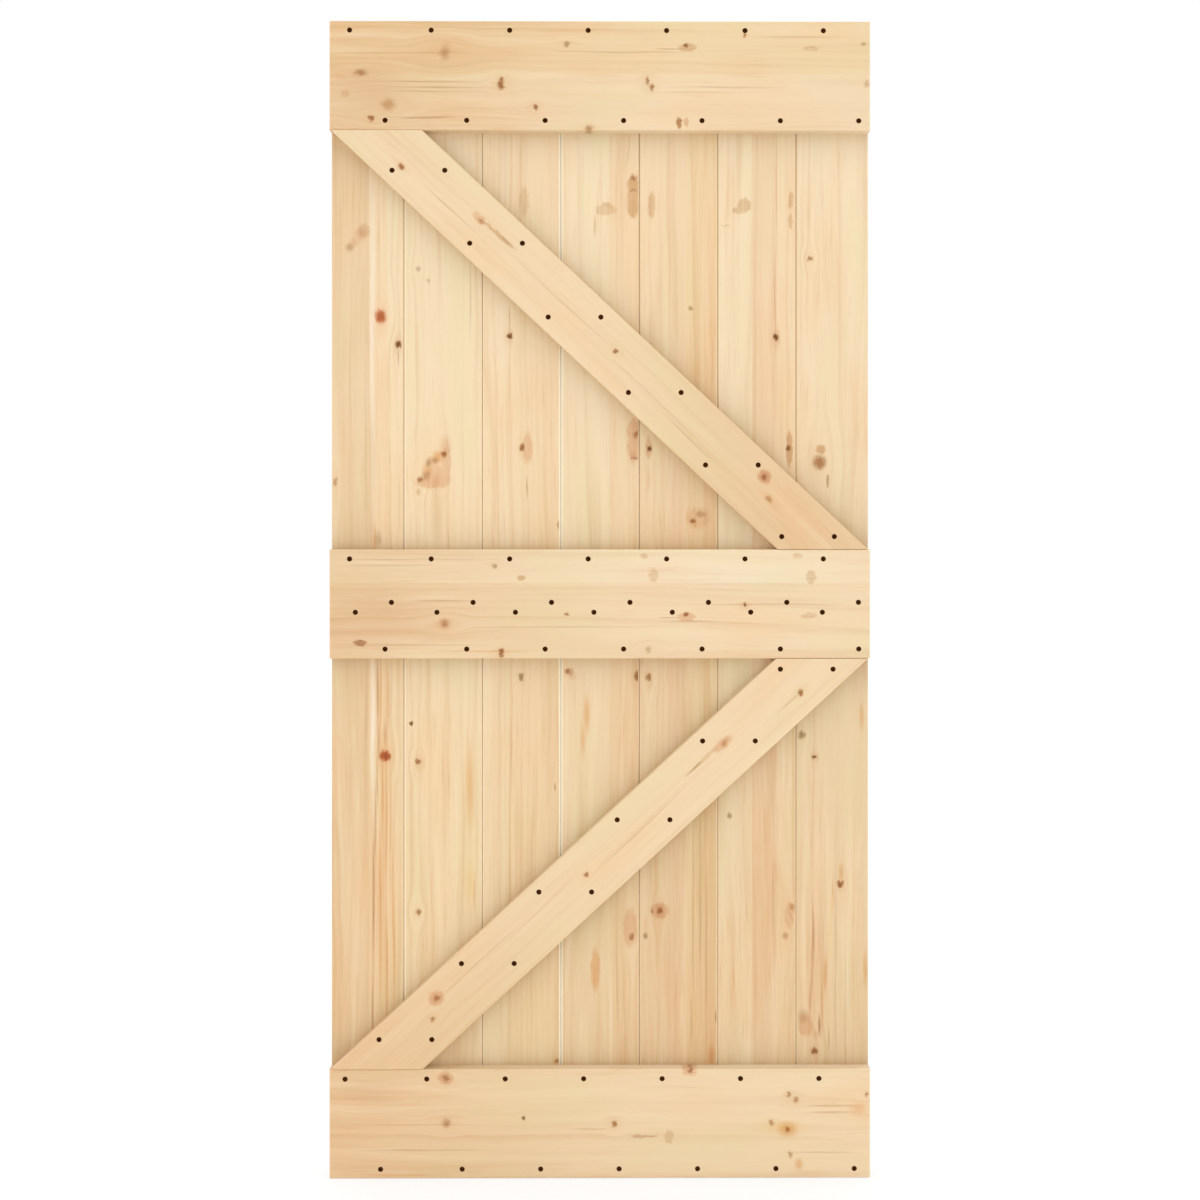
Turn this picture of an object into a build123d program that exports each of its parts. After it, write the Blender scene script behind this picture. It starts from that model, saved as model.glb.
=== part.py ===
"""Leaf of a sliding barn door: upright pine planks behind three rails and two braces.

Sizes are in millimetres. X runs to the right along the leaf, Y from its face to its back, and Z up. The origin
is the centre of the top rail's face, where strap hangers are bolted on.
"""

import math
import os

from build123d import *

# The leaf
leaf_width = 1000.0
leaf_height = 2140.0

# Planks: upright boards, each with a tongue on its right edge and a groove in its left edge
plank_count = 7
plank_cover = 146.3  # face of a full plank, joint to joint; the two outer planks are ripped to what is left
plank_thickness = 18.0
plank_bevel = 1.7  # half of the V along a joint
plank_arris = 1.0  # taken off the leaf's own upright edges
tongue_length = 7.0
tongue_thickness = 5.0
tongue_depth = 7.0  # from a plank's face to its tongue
joint_gap = 0.8  # open line at the bottom of a V
tongue_play = 0.2  # on each side of a tongue
tongue_end_play = 1.0  # ahead of a tongue

# Rails: level boards across the planks
rail_width = 202.0
rail_thickness = 18.0
rail_edge_radius = 3.0
middle_rail_height = 1062.0  # from the foot of the leaf to the rail's centre line

# Braces: slanted boards between the rails
brace_width = 115.0
brace_thickness = 18.0
brace_edge_radius = 3.0
brace_tip_inset = 4.0  # from a sharp tip to the leaf's edge
brace_end_gap = 0.3  # between a cut end and its rail

# Countersunk seats of the screws
screw_head_diameter = 9.6
screw_shank_diameter = 5.0
seat_play = 0.3  # around a head
seat_sides = 16  # few enough for the many seats to stay light
seat_slope = 45.0  # of the seat's wall, in degrees from the screw's axis

# Screws in the rails: level rows with one screw for each plank
rail_screw_pitch = 145.0
rail_screw_inset = 17.7  # from a rail's long edge to its outer row
first_screw_shift = -5.7  # of the first plank's screw, which stands nearer to the leaf's edge
upper_row_shift = -21.8  # of a row's middle from the leaf's centre line
lower_row_shift = 43.7
bottom_rail_shift = -8.3  # of both rows in the bottom rail
inner_upper_shift = 55.5
inner_upper_rise = 3.0  # above the middle rail's centre line
inner_lower_shift = -11.2
inner_lower_drop = 15.3  # below that centre line
inner_last_shift = -12.4  # of the last plank's screw, which stands clear of the leaf's edge

# Screws in the braces: level pairs down the slope, each at its share of the brace's centre line from the upper end
brace_pair_spacing = 97.4
upper_pair_shares = (0.093, 0.267, 0.443, 0.623, 0.796, 0.967)
upper_pair_rise = -2.3  # of the pairs above the brace's centre line
lower_pair_shares = (0.035, 0.210, 0.402, 0.578, 0.752, 0.937)
lower_pair_rise = 7.2

# Levels, from the rails' centre lines
top_rail_z = 0.0
foot_z = rail_width / 2 - leaf_height
bottom_rail_z = foot_z + rail_width / 2
middle_rail_z = foot_z + middle_rail_height

# Depths, from the rails' face
plank_face_y = rail_thickness
brace_face_y = plank_face_y - brace_thickness
tongue_y = plank_face_y + tongue_depth + tongue_thickness / 2

# The groove takes the tongue that crosses the open joint
groove_depth = tongue_length - joint_gap + tongue_end_play
groove_width = tongue_thickness + 2 * tongue_play

# Each seat narrows from the head down to the shank
seat_radius = screw_head_diameter / 2 + seat_play
seat_depth = (seat_radius - screw_shank_diameter / 2) / math.tan(math.radians(seat_slope))


def save(piece, name):
    """Label a finished piece and write its file."""
    piece.part.label = name
    export_step(piece.part, f"parts/{name}.step")


def row_points(shift, z, last_shift):
    """Screw centres of one level row, one for each plank, around its shifted middle.

    The first screw moves by the first screw's shift, and the last one by the row's own.
    """
    middle = (plank_count - 1) / 2
    xs = [shift + (index - middle) * rail_screw_pitch for index in range(plank_count)]
    xs[0] += first_screw_shift
    xs[-1] += last_shift
    return [(x, z) for x in xs]


def make_plank(index):
    """One plank, its section in plan drawn up through the whole height of the leaf."""
    first = index == 0
    last = index == plank_count - 1
    first_joint = -(plank_count - 2) * plank_cover / 2
    left = -leaf_width / 2 if first else first_joint + (index - 1) * plank_cover + joint_gap / 2
    right = leaf_width / 2 if last else first_joint + index * plank_cover - joint_gap / 2
    with BuildPart() as plank:
        with BuildSketch(Plane.XY.offset(foot_z)):
            with Locations((left, plank_face_y)):
                Rectangle(right - left, plank_thickness, align=(Align.MIN, Align.MIN))
            if not last:
                with Locations((right, tongue_y)):
                    Rectangle(tongue_length, tongue_thickness, align=(Align.MIN, Align.CENTER))
            if not first:
                with Locations((left, tongue_y)):
                    Rectangle(groove_depth, groove_width, align=(Align.MIN, Align.CENTER), mode=Mode.SUBTRACT)
        extrude(amount=leaf_height)
        face_edges = plank.edges().filter_by(Axis.Z).group_by(Axis.Y)[0].sort_by(Axis.X)
        back_edges = plank.edges().filter_by(Axis.Z).group_by(Axis.Y)[-1].sort_by(Axis.X)
        if first:
            chamfer([face_edges[0], back_edges[0]], plank_arris)
        else:
            chamfer(face_edges[0], plank_bevel)
        if last:
            chamfer([face_edges[-1], back_edges[-1]], plank_arris)
        else:
            chamfer(face_edges[-1], plank_bevel)
    save(plank, f"plank_{index + 1}")


def make_rail(name, centre_z, rows):
    """One rail as wide as the leaf, its face rounded over all round, with rows of screw seats.

    Each row is the shift of its middle, its height above the rail's centre line and the shift of its last screw.
    """
    points = [point for shift, rise, last in rows for point in row_points(shift, centre_z + rise, last)]
    with BuildPart() as rail:
        with BuildSketch(Plane.XZ):
            with Locations((0, centre_z)):
                Rectangle(leaf_width, rail_width)
        extrude(amount=-rail_thickness)
        fillet(rail.faces().sort_by(Axis.Y)[0].edges(), rail_edge_radius)
        with BuildSketch(Plane.XZ):
            with Locations(*points):
                RegularPolygon(seat_radius, seat_sides)
        extrude(amount=-seat_depth, taper=seat_slope, mode=Mode.SUBTRACT)
    save(rail, name)


def make_brace(name, head_z, base_z, side, pair_shares, pair_rise):
    """One brace from tip to tip across its bay, with level ends cut to the rails and pairs of screw seats.

    Its long edges slope so that opposite corners both reach the tip inset: reach * sin(slope) less
    drop * cos(slope) is the brace's width. A side of 1 starts it at the left, and -1 at the right.
    """
    head = head_z - brace_end_gap
    base = base_z + brace_end_gap
    drop = head - base
    reach = leaf_width - 2 * brace_tip_inset
    slope = math.atan2(drop, reach) + math.asin(brace_width / math.hypot(drop, reach))
    end_length = brace_width / math.sin(slope)
    outline = [
        (-side * reach / 2, head),
        (side * (end_length - reach / 2), head),
        (side * reach / 2, base),
        (side * (reach / 2 - end_length), base),
    ]
    pairs = []
    for share in pair_shares:
        along = share * drop / math.sin(slope)
        pair_x = side * (end_length / 2 - reach / 2 + along * math.cos(slope))
        pair_z = head - along * math.sin(slope) + pair_rise
        pairs.append((pair_x - brace_pair_spacing / 2, pair_z))
        pairs.append((pair_x + brace_pair_spacing / 2, pair_z))
    with BuildPart() as brace:
        with BuildSketch(Plane.XZ.offset(-brace_face_y)):
            with BuildLine():
                Polyline(outline, close=True)
            make_face()
        extrude(amount=-brace_thickness)
        long_edges = brace.faces().sort_by(Axis.Y)[0].edges().filter_by(Axis.X, reverse=True)
        fillet(long_edges, brace_edge_radius)
        with BuildSketch(Plane.XZ.offset(-brace_face_y)):
            with Locations(*pairs):
                RegularPolygon(seat_radius, seat_sides)
        extrude(amount=-seat_depth, taper=seat_slope, mode=Mode.SUBTRACT)
    save(brace, name)


os.makedirs("parts", exist_ok=True)

for plank_index in range(plank_count):
    make_plank(plank_index)

outer_row = rail_width / 2 - rail_screw_inset
outer_rows = [(upper_row_shift, outer_row, 0.0), (lower_row_shift, -outer_row, 0.0)]
inner_rows = [
    (inner_upper_shift, inner_upper_rise, inner_last_shift),
    (inner_lower_shift, -inner_lower_drop, inner_last_shift),
]
make_rail("top_rail", top_rail_z, outer_rows)
make_rail("middle_rail", middle_rail_z, outer_rows + inner_rows)
make_rail("bottom_rail", bottom_rail_z, [(shift + bottom_rail_shift, *rest) for shift, *rest in outer_rows])

make_brace(
    "upper_brace",
    top_rail_z - rail_width / 2,
    middle_rail_z + rail_width / 2,
    1,
    upper_pair_shares,
    upper_pair_rise,
)
make_brace(
    "lower_brace",
    middle_rail_z - rail_width / 2,
    bottom_rail_z + rail_width / 2,
    -1,
    lower_pair_shares,
    lower_pair_rise,
)
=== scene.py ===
"""Leaf of a sliding barn door in knotty pine, dressed for a studio picture.

Marks in the wood are placed in millimetres on the leaf: x to the right from its left edge, down from its top
edge. Everything else is in the frame of the solids, whose origin is the centre of the top rail's face.
"""

import logging
import math
from dataclasses import dataclass, field
from enum import Enum
from typing import ClassVar, Mapping

import bpy
import numpy as np
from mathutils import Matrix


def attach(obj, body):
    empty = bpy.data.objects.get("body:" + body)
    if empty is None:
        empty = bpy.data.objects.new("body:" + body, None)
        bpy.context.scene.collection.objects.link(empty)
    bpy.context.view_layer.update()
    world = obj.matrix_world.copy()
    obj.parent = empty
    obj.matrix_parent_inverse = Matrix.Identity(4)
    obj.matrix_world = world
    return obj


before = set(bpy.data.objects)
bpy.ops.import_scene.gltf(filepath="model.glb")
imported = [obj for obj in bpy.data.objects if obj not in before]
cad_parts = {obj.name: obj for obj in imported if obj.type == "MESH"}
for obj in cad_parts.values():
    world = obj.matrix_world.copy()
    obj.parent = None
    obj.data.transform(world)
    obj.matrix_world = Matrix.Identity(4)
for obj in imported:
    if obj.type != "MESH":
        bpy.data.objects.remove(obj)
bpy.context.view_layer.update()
log = logging.getLogger("barn_door_leaf")

Colour = tuple[float, float, float, float]
Triple = tuple[float, float, float]
Span = tuple[float, float]

MM = 0.001
LEAF_WIDTH = 1000.0
LEAF_HEIGHT = 2140.0
LEAF_TOP = 101.0
LEAF_FOOT = LEAF_TOP - LEAF_HEIGHT
RAIL_LEVELS = {"top_rail": 0.0, "middle_rail": -977.0, "bottom_rail": -1938.0}
UPPER_BAY: Span = (-101.0, -876.0)  # head and foot of the opening between two rails
LOWER_BAY: Span = (-1078.0, -1837.0)
WHITE: Colour = (1.0, 1.0, 1.0, 1.0)


def srgb(red: int, green: int, blue: int) -> Colour:
    """Turn a colour as a screen shows it into linear light, by the standard curve.

    Args:
        red: Red from 0 to 255.
        green: Green from 0 to 255.
        blue: Blue from 0 to 255.

    Returns:
        The linear colour with full alpha.
    """
    parts = np.array((red, green, blue)) / 255
    linear = np.where(parts <= 0.04045, parts / 12.92, ((parts + 0.055) / 1.055) ** 2.4)
    return (*linear.tolist(), 1.0)


class Pine(Enum):
    """Colours of clear pine, from sapwood to resin-rich heartwood."""

    PALE = srgb(247, 224, 187)
    CREAM = srgb(245, 218, 179)
    STRAW = srgb(243, 214, 170)
    BLUSH = srgb(243, 212, 174)
    HONEY = srgb(240, 206, 161)
    TAN = srgb(237, 208, 168)
    LATE = srgb(212, 166, 114)
    END = srgb(222, 180, 132)


def over_pine(colour: Colour) -> Colour:
    """Give a colour as a share of clear pine's, so that it follows the wood under it."""
    red, green, blue, _ = (seen / clear for seen, clear in zip(colour, Pine.CREAM.value))
    return red, green, blue, 1.0


class Tone(Enum):
    """Colours of a mark in the wood: its body, its heart and the wood around it."""

    RED = (srgb(198, 120, 72), srgb(150, 74, 38), srgb(244, 202, 160))
    BROWN = (srgb(186, 136, 88), srgb(132, 84, 46), srgb(240, 206, 162))
    TAN = (srgb(217, 174, 126), srgb(188, 138, 90), srgb(242, 210, 168))
    GREY = (srgb(202, 168, 124), srgb(154, 118, 78), srgb(242, 214, 174))
    DARK = (srgb(146, 100, 60), srgb(92, 56, 30), srgb(234, 192, 148))
    ORANGE = (srgb(230, 174, 112), srgb(176, 108, 58), srgb(246, 208, 158))
    PINK = (srgb(232, 188, 146), srgb(184, 130, 90), srgb(246, 212, 176))
    STRAW = (srgb(243, 212, 158),) * 3
    PALE = (srgb(255, 246, 230),) * 3

    @property
    def body(self) -> Colour:
        """Tint of the mark itself, over clear pine."""
        return over_pine(self.value[0])

    @property
    def heart(self) -> Colour:
        """Colour of the mark's centre."""
        return self.value[1]

    @property
    def halo(self) -> Colour:
        """Tint of the wood next to the mark, over clear pine."""
        return over_pine(self.value[2])


RED, BROWN, TAN, GREY, DARK, ORANGE, PINK, STRAW, PALE = Tone


@dataclass(frozen=True)
class Mark:
    """An oval place in a board, by its centre on the leaf and its half sizes in millimetres.

    Its edge is where its share starts and where that is full, in parts of the half sizes.
    """

    edge: ClassVar[Span]
    x: float
    down: float
    across: float
    along: float
    tone: Tone
    strength: float


class Knot(Mark):
    """A branch grown into the board, which the grain runs around."""

    edge = (1.5, 0.1)


class Patch(Mark):
    """A sheared branch or a resin patch with a clear edge."""

    edge = (1.25, 0.7)


class Line(Mark):
    """A dark year's line or a hair crack along the grain."""

    edge = (1.2, 0.2)


class Stain(Mark):
    """A soft cloud of colour."""

    edge = (1.1, 0.1)


@dataclass(frozen=True)
class Strip:
    """One stave of a glued board, from an edge across the board, with its colour and its place in the log.

    The pith is where the log's centre lies from the strip's start and from the leaf's face, in millimetres.
    """

    start: float
    pine: Pine
    pith_across: float
    pith_depth: float


class Run(Enum):
    """Directions across and along the grain, in the leaf's x, depth and down."""

    UPRIGHT = ((1.0, 0.0, 0.0), (0.0, 0.0, 1.0))
    LEVEL = ((0.0, 0.0, 1.0), (1.0, 0.0, 0.0))
    FALLING = ((-0.6848, 0.0, 0.7287), (0.7287, 0.0, 0.6848))
    RISING = ((0.6779, 0.0, 0.7351), (-0.7351, 0.0, 0.6779))

    def place(self, x: float, down: float) -> Span:
        """Give a point of the leaf in the board's own directions.

        Args:
            x: Millimetres from the leaf's left edge.
            down: Millimetres from the leaf's top edge.

        Returns:
            The distances across and along the grain.
        """
        point = (x, 0.0, down)
        across, along = (sum(a * b for a, b in zip(point, way)) for way in self.value)
        return across, along


class Figure(Enum):
    """Noises in the wood: cells in a millimetre across, along and into it, and octaves after the first."""

    WANDER = ((0.009, 0.0013, 0.009), 0.0)
    RIPPLE = ((0.03, 0.005, 0.03), 1.0)
    STREAKS = ((0.3, 0.011, 0.05), 2.0)
    BANDS = ((0.045, 0.0022, 0.02), 1.0)
    CLOUDS = ((0.012, 0.0035, 0.012), 1.0)
    FIBRES = ((0.9, 0.04, 0.9), 1.0)
    FRAY = ((0.21, 0.09, 0.21), 1.0)


class Ease(Enum):
    """Where a look of the wood starts, where it is full, and its full share if that isn't one."""

    LATE_RISE = (0.25, 0.86)
    LATE_FALL = (1.0, 0.86)
    STRONG_FIGURE = (0.3, 0.6)
    DARK_STREAK = (0.53, 0.8, 0.45)
    DARK_BAND = (0.52, 0.8, 0.3)
    DARK_FIBRE = (0.5, 0.85, 0.16)
    PALE_BAND = (0.48, 0.22, 0.5)
    PALE_STREAK = (0.45, 0.25, 0.3)
    ROSY_CLOUD = (0.48, 0.7)
    GREEN_CLOUD = (0.52, 0.3)
    # Where the painted shade on the boards' sides starts and is full.
    SIDE_SHADE = (0.6, 0.2)
    SAWN_END = (0.75, 0.95, 0.55)
    KNOT_BODY = (0.0, 0.6)
    KNOT_HEART = (0.45, 1.1, 0.8)
    JOINT_DEPTH = (34.0, 31.0)
    FACE_DEPTH = (24.0, 20.0)


class Value:
    """A number that varies over a surface: a node's socket with arithmetic."""

    def __init__(self, graph: "Graph", socket: bpy.types.NodeSocket) -> None:
        """Keep the socket and the graph that takes the new nodes."""
        self.graph = graph
        self.socket = socket

    def __add__(self, other: "Number") -> "Value":
        """Add."""
        return self.graph.math("ADD", self, other)

    __radd__ = __add__

    def __sub__(self, other: "Number") -> "Value":
        """Take other away."""
        return self.graph.math("SUBTRACT", self, other)

    def __rsub__(self, other: "Number") -> "Value":
        """Take this away from other."""
        return self.graph.math("SUBTRACT", other, self)

    def __mul__(self, other: "Number") -> "Value":
        """Multiply."""
        return self.graph.math("MULTIPLY", self, other)

    __rmul__ = __mul__

    def __truediv__(self, other: "Number") -> "Value":
        """Divide by other."""
        return self.graph.math("DIVIDE", self, other)

    def __rtruediv__(self, other: "Number") -> "Value":
        """Divide other by this."""
        return self.graph.math("DIVIDE", other, self)

    def __pow__(self, other: "Number") -> "Value":
        """Raise to a power."""
        return self.graph.math("POWER", self, other)

    def __rpow__(self, other: "Number") -> "Value":
        """Raise other to this power."""
        return self.graph.math("POWER", other, self)

    def __abs__(self) -> "Value":
        """Drop the sign."""
        return self.graph.math("ABSOLUTE", self)


Number = Value | float
Socket = bpy.types.NodeSocket


class Graph:
    """A node tree that is written as expressions."""

    def __init__(self, owner: bpy.types.Material | bpy.types.World) -> None:
        """Start from the owner's tree, emptied."""
        owner.use_nodes = True
        self.tree = owner.node_tree
        self.tree.nodes.clear()

    def node(
        self, kind: str, settings: Mapping[str, object], sockets: Mapping[int | str, object]
    ) -> bpy.types.Node:
        """Add one node.

        Args:
            kind: The node's type.
            settings: Properties of the node, set before its sockets.
            sockets: A value or a link for each input that differs from its default.

        Returns:
            The new node.
        """
        made = self.tree.nodes.new(kind)
        for name, setting in settings.items():
            setattr(made, name, setting)
        for name, given in sockets.items():
            given = given.socket if isinstance(given, Value) else given
            if isinstance(given, Socket):
                self.tree.links.new(given, made.inputs[name])
            else:
                made.inputs[name].default_value = given
        return made

    def math(self, operation: str, *operands: Number) -> Value:
        """Add a Math node on numbers and give its result."""
        made = self.node("ShaderNodeMath", {"operation": operation}, dict(enumerate(operands)))
        return Value(self, made.outputs[0])

    def vector(self, operation: str, *operands: object) -> Socket:
        """Add a Vector Math node on links or plain triples and give its vector."""
        made = self.node("ShaderNodeVectorMath", {"operation": operation}, dict(enumerate(operands)))
        return made.outputs[0]

    def measure(self, operation: str, *operands: object) -> Value:
        """Add a Vector Math node that gives a number, by LENGTH or DOT_PRODUCT."""
        made = self.node("ShaderNodeVectorMath", {"operation": operation}, dict(enumerate(operands)))
        return Value(self, made.outputs["Value"])

    def join(self, *parts: Number) -> Socket:
        """Join numbers into a vector."""
        return self.node("ShaderNodeCombineXYZ", {}, dict(enumerate(parts))).outputs[0]

    def part(self, vector: Socket, index: int) -> Value:
        """Give one number of a vector."""
        return Value(self, self.node("ShaderNodeSeparateXYZ", {}, {0: vector}).outputs[index])

    def background_ray(self) -> Value:
        """Tell where the background is seen by the camera, in a reflection or through glass.

        Returns:
            1 there, and 0 for the background's light.
        """
        path = self.node("ShaderNodeLightPath", {}, {})
        rays = ("Is Camera Ray", "Is Glossy Ray", "Is Transmission Ray")
        camera, glossy, through = (Value(self, path.outputs[name]) for name in rays)
        return self.math("MINIMUM", camera + glossy + through, 1.0)

    def smooth(self, value: Number, start: float, end: float, top: float = 1.0) -> Value:
        """Ease from nothing to a top as a value passes from start to end.

        Args:
            value: The number to follow.
            start: Where the result is nothing; it may lie above end.
            end: Where the result is full.
            top: The full result.

        Returns:
            The eased number.
        """
        made = self.node(
            "ShaderNodeMapRange",
            {"interpolation_type": "SMOOTHSTEP"},
            {"Value": value, "From Min": start, "From Max": end, "To Max": top},
        )
        return Value(self, made.outputs[0])

    def mix(self, factor: Number, first: object, second: object, blend: str = "MIX") -> Socket:
        """Mix two colours or links, with a factor for the second, and give the colour."""
        settings = {"data_type": "RGBA", "blend_type": blend}
        return self.node("ShaderNodeMix", settings, {0: factor, 6: first, 7: second}).outputs[2]

    def noise_node(self, vector: Socket, cells: Triple, detail: float) -> bpy.types.Node:
        """Add a noise by its cells in one unit of each direction and its octaves after the first."""
        scaled = self.vector("MULTIPLY", vector, cells)
        return self.node("ShaderNodeTexNoise", {}, {"Vector": scaled, "Scale": 1.0, "Detail": detail})

    def noise(self, vector: Socket, cells: Triple, detail: float) -> Value:
        """Give the same noise as a number around a half."""
        return Value(self, self.noise_node(vector, cells, detail).outputs[0])

    def surface(self, sockets: Mapping[str, object]) -> None:
        """End the tree in a Principled surface with these sockets."""
        made = self.node("ShaderNodeBsdfPrincipled", {}, sockets)
        self.node("ShaderNodeOutputMaterial", {}, {"Surface": made.outputs[0]})


@dataclass(frozen=True)
class PineFinish:
    """Bare planed pine, solid through one board: staves, growth rings, streaks, knots and fibres.

    Growth rings are circles around a pith that leans slowly out of the board, so a face shows straight lines
    and long arches and an end shows arcs. Knots push the rings aside. Sizes are in millimetres.
    """

    name: str
    run: Run
    strips: tuple[Strip, ...]
    marks: tuple[Mark, ...]
    head: Colour = WHITE
    foot: Colour = WHITE
    length: Span = (0.0, LEAF_HEIGHT)
    ring: float = 10.0
    lean: float = 0.010
    seed: float = 0.0
    contrast: Span = (1.0, 1.0)
    late_share: Span = (0.04, 0.4)
    wander_reach: float = 30.0
    ripple_reach: float = 10.0
    mark_ripple: float = 6.0
    mark_fray: Triple = (6.5, 11.0, 0.0)
    mark_streak: Span = (1.6, 0.2)
    patch_even: float = 0.5
    stave_seam: float = 0.4
    big_knot: float = 4.6
    push_size: Span = (1.0, 2.0)
    push_fade: Span = (4.0, 0.6)
    push_share: float = 0.85
    flare_size: Span = (2.4, 4.2)
    flare_edge: Span = (1.0, 0.1)
    flare_share: float = 0.8
    # Tint of the painted shade on the board's sides.
    side_shade: Colour = (0.88, 0.92, 0.98, 1.0)
    rosy: Colour = (1.0, 0.955, 0.915, 1.0)
    green: Colour = (0.975, 1.0, 0.96, 1.0)
    roughness: float = 0.62
    late_polish: float = 0.25
    end_roughness: float = 0.2
    specular: float = 0.25
    bump_strength: float = 0.18
    bump_height: float = 0.0004

    def material(self) -> bpy.types.Material:
        """Make the material.

        Returns:
            A material that reads Object coordinates.
        """
        made = bpy.data.materials.new(self.name)
        graph = Graph(made)
        leaf, board, across, along, depth = self.directions(graph)
        colour, pith_across, pith_depth = self.staves(graph, across)
        share = graph.smooth(along, *self.length)
        colour = graph.mix(1.0, colour, graph.mix(share, self.head, self.foot), "MULTIPLY")

        wander = graph.noise(board, *Figure.WANDER.value) - 0.5
        ripple = graph.noise(board, *Figure.RIPPLE.value) - 0.5
        drawn = graph.join(across + ripple * self.mark_ripple, along)
        ragged = self.fray(graph, board)
        bent = across - self.pushes(graph, board) + wander * self.wander_reach + ripple * self.ripple_reach
        sideways = bent - pith_across
        inward = depth - pith_depth - along * self.lean
        rings = (sideways * sideways + inward * inward) ** 0.5 / self.ring
        phase = graph.math("FRACT", rings)
        late = graph.smooth(phase, *Ease.LATE_RISE.value) * graph.smooth(phase, *Ease.LATE_FALL.value)
        number = graph.math("FLOOR", rings)
        year = graph.node("ShaderNodeTexWhiteNoise", {"noise_dimensions": "1D"}, {"W": number})

        grain = graph.join(bent, along, inward)
        streaks = graph.noise(grain, *Figure.STREAKS.value)
        bands = graph.noise(grain, *Figure.BANDS.value)
        clouds = graph.noise(board, *Figure.CLOUDS.value)
        fibres = graph.noise(board, *Figure.FIBRES.value)
        least, more = self.late_share
        late = late * (Value(graph, year.outputs["Value"]) ** 2.0 * more + least)
        late = late * graph.smooth(bands, *Ease.STRONG_FIGURE.value)
        dark = graph.smooth(streaks, *Ease.DARK_STREAK.value)
        dark = late + dark * graph.smooth(clouds, *Ease.STRONG_FIGURE.value)
        dark = dark + graph.smooth(bands, *Ease.DARK_BAND.value)
        dark = dark + graph.smooth(fibres, *Ease.DARK_FIBRE.value)
        pale = graph.smooth(bands, *Ease.PALE_BAND.value) + graph.smooth(streaks, *Ease.PALE_STREAK.value)
        first, last = self.contrast
        strength = share * (last - first) + first
        colour = graph.mix(dark * strength, colour, Pine.LATE.value)
        colour = graph.mix(pale * strength, colour, Pine.PALE.value)
        colour = graph.mix(graph.smooth(clouds, *Ease.ROSY_CLOUD.value), colour, self.rosy, "MULTIPLY")
        colour = graph.mix(graph.smooth(clouds, *Ease.GREEN_CLOUD.value), colour, self.green, "MULTIPLY")
        slope, start = self.mark_streak
        colour = self.paint(graph, colour, drawn, ragged, streaks * slope + start)

        facing = graph.node("ShaderNodeNewGeometry", {}, {}).outputs["Normal"]
        # Painted shade on the boards' sides, by how far each face turns from the front.
        side = graph.smooth(abs(graph.part(facing, 1)), *Ease.SIDE_SHADE.value)
        colour = graph.mix(side, colour, self.side_shade, "MULTIPLY")
        # Planks get painted highlights and shade at their joints, and painted shade beside the rails and
        # braces.
        colour = self.paint_light_and_shade(graph, leaf, across, depth, colour)
        end = graph.smooth(abs(graph.measure("DOT_PRODUCT", facing, self.grain())), *Ease.SAWN_END.value)
        colour = graph.mix(end, colour, Pine.END.value)

        bump = {"Strength": self.bump_strength, "Distance": self.bump_height, "Height": fibres}
        graph.surface({
            "Base Color": colour,
            "Roughness": self.roughness - late * self.late_polish + end * self.end_roughness,
            "Specular IOR Level": self.specular,
            "Normal": graph.node("ShaderNodeBump", {}, bump).outputs[0],
        })
        return made

    def grain(self) -> Triple:
        """Direction of the grain in the frame, where z rises as down falls."""
        x, depth, down = self.run.value[1]
        return x, depth, -down

    def paint_light_and_shade(self, graph: Graph, leaf: Socket, across: Value, depth: Value, colour: Socket) -> Socket:
        """Leave the colour as it is: this board gets no painted light or shade."""
        return colour

    def directions(self, graph: Graph) -> tuple[Socket, Socket, Value, Value, Value]:
        """Turn Object coordinates into the board's own millimetres.

        Args:
            graph: The material's graph.

        Returns:
            The vector on the leaf, the vector across, along and into the board, and its three parts.
        """
        point = graph.node("ShaderNodeTexCoord", {}, {}).outputs["Object"]
        corner = (LEAF_WIDTH / 2, self.seed, LEAF_TOP)
        leaf = graph.vector("MULTIPLY_ADD", point, (1 / MM, 1 / MM, -1 / MM), corner)
        across, along = (graph.measure("DOT_PRODUCT", leaf, way) for way in self.run.value)
        depth = graph.part(leaf, 1)
        return leaf, graph.join(across, along, depth), across, along, depth - self.seed

    def staves(self, graph: Graph, across: Value) -> tuple[object, Number, Number]:
        """Give each stave its colour and its pith.

        Args:
            graph: The material's graph.
            across: Millimetres across the grain.

        Returns:
            The colour, and the pith's place across the board and in depth.
        """
        first = self.strips[0]
        colour: object = first.pine.value
        pith_across: Number = first.start + first.pith_across
        pith_depth: Number = first.pith_depth
        was_across, was_depth = pith_across, pith_depth
        for strip in self.strips[1:]:
            past = graph.smooth(across, strip.start - self.stave_seam, strip.start + self.stave_seam)
            colour = graph.mix(past, colour, strip.pine.value)
            now_across, now_depth = strip.start + strip.pith_across, strip.pith_depth
            pith_across = past * (now_across - was_across) + pith_across
            pith_depth = past * (now_depth - was_depth) + pith_depth
            was_across, was_depth = now_across, now_depth
        return colour, pith_across, pith_depth

    def fray(self, graph: Graph, board: Socket) -> Socket:
        """Shift a point by a fine noise, further along the grain than across it, to fray the marks' edges.

        Args:
            graph: The material's graph.
            board: Across, along and depth in millimetres.

        Returns:
            The shifted point.
        """
        noise = graph.noise_node(board, *Figure.FRAY.value)
        shift = graph.vector("SUBTRACT", noise.outputs["Color"], (0.5, 0.5, 0.5))
        return graph.vector("MULTIPLY_ADD", shift, self.mark_fray, board)

    def oval(self, graph: Graph, point: Socket, mark: Mark, size: Span) -> Socket:
        """Give the offset of a point from a mark's centre, each part divided by the mark's half size.

        Args:
            graph: The material's graph.
            point: Across, along and depth in millimetres.
            mark: The mark.
            size: Factors on its half sizes across and along.

        Returns:
            The offset, whose length is 1 at the mark's edge.
        """
        across, along = self.run.place(mark.x, mark.down)
        wide, long = mark.across * size[0], mark.along * size[1]
        centre = (-across / wide, -along / long, 0.0)
        return graph.vector("MULTIPLY_ADD", point, (1 / wide, 1 / long, 0.0), centre)

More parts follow.
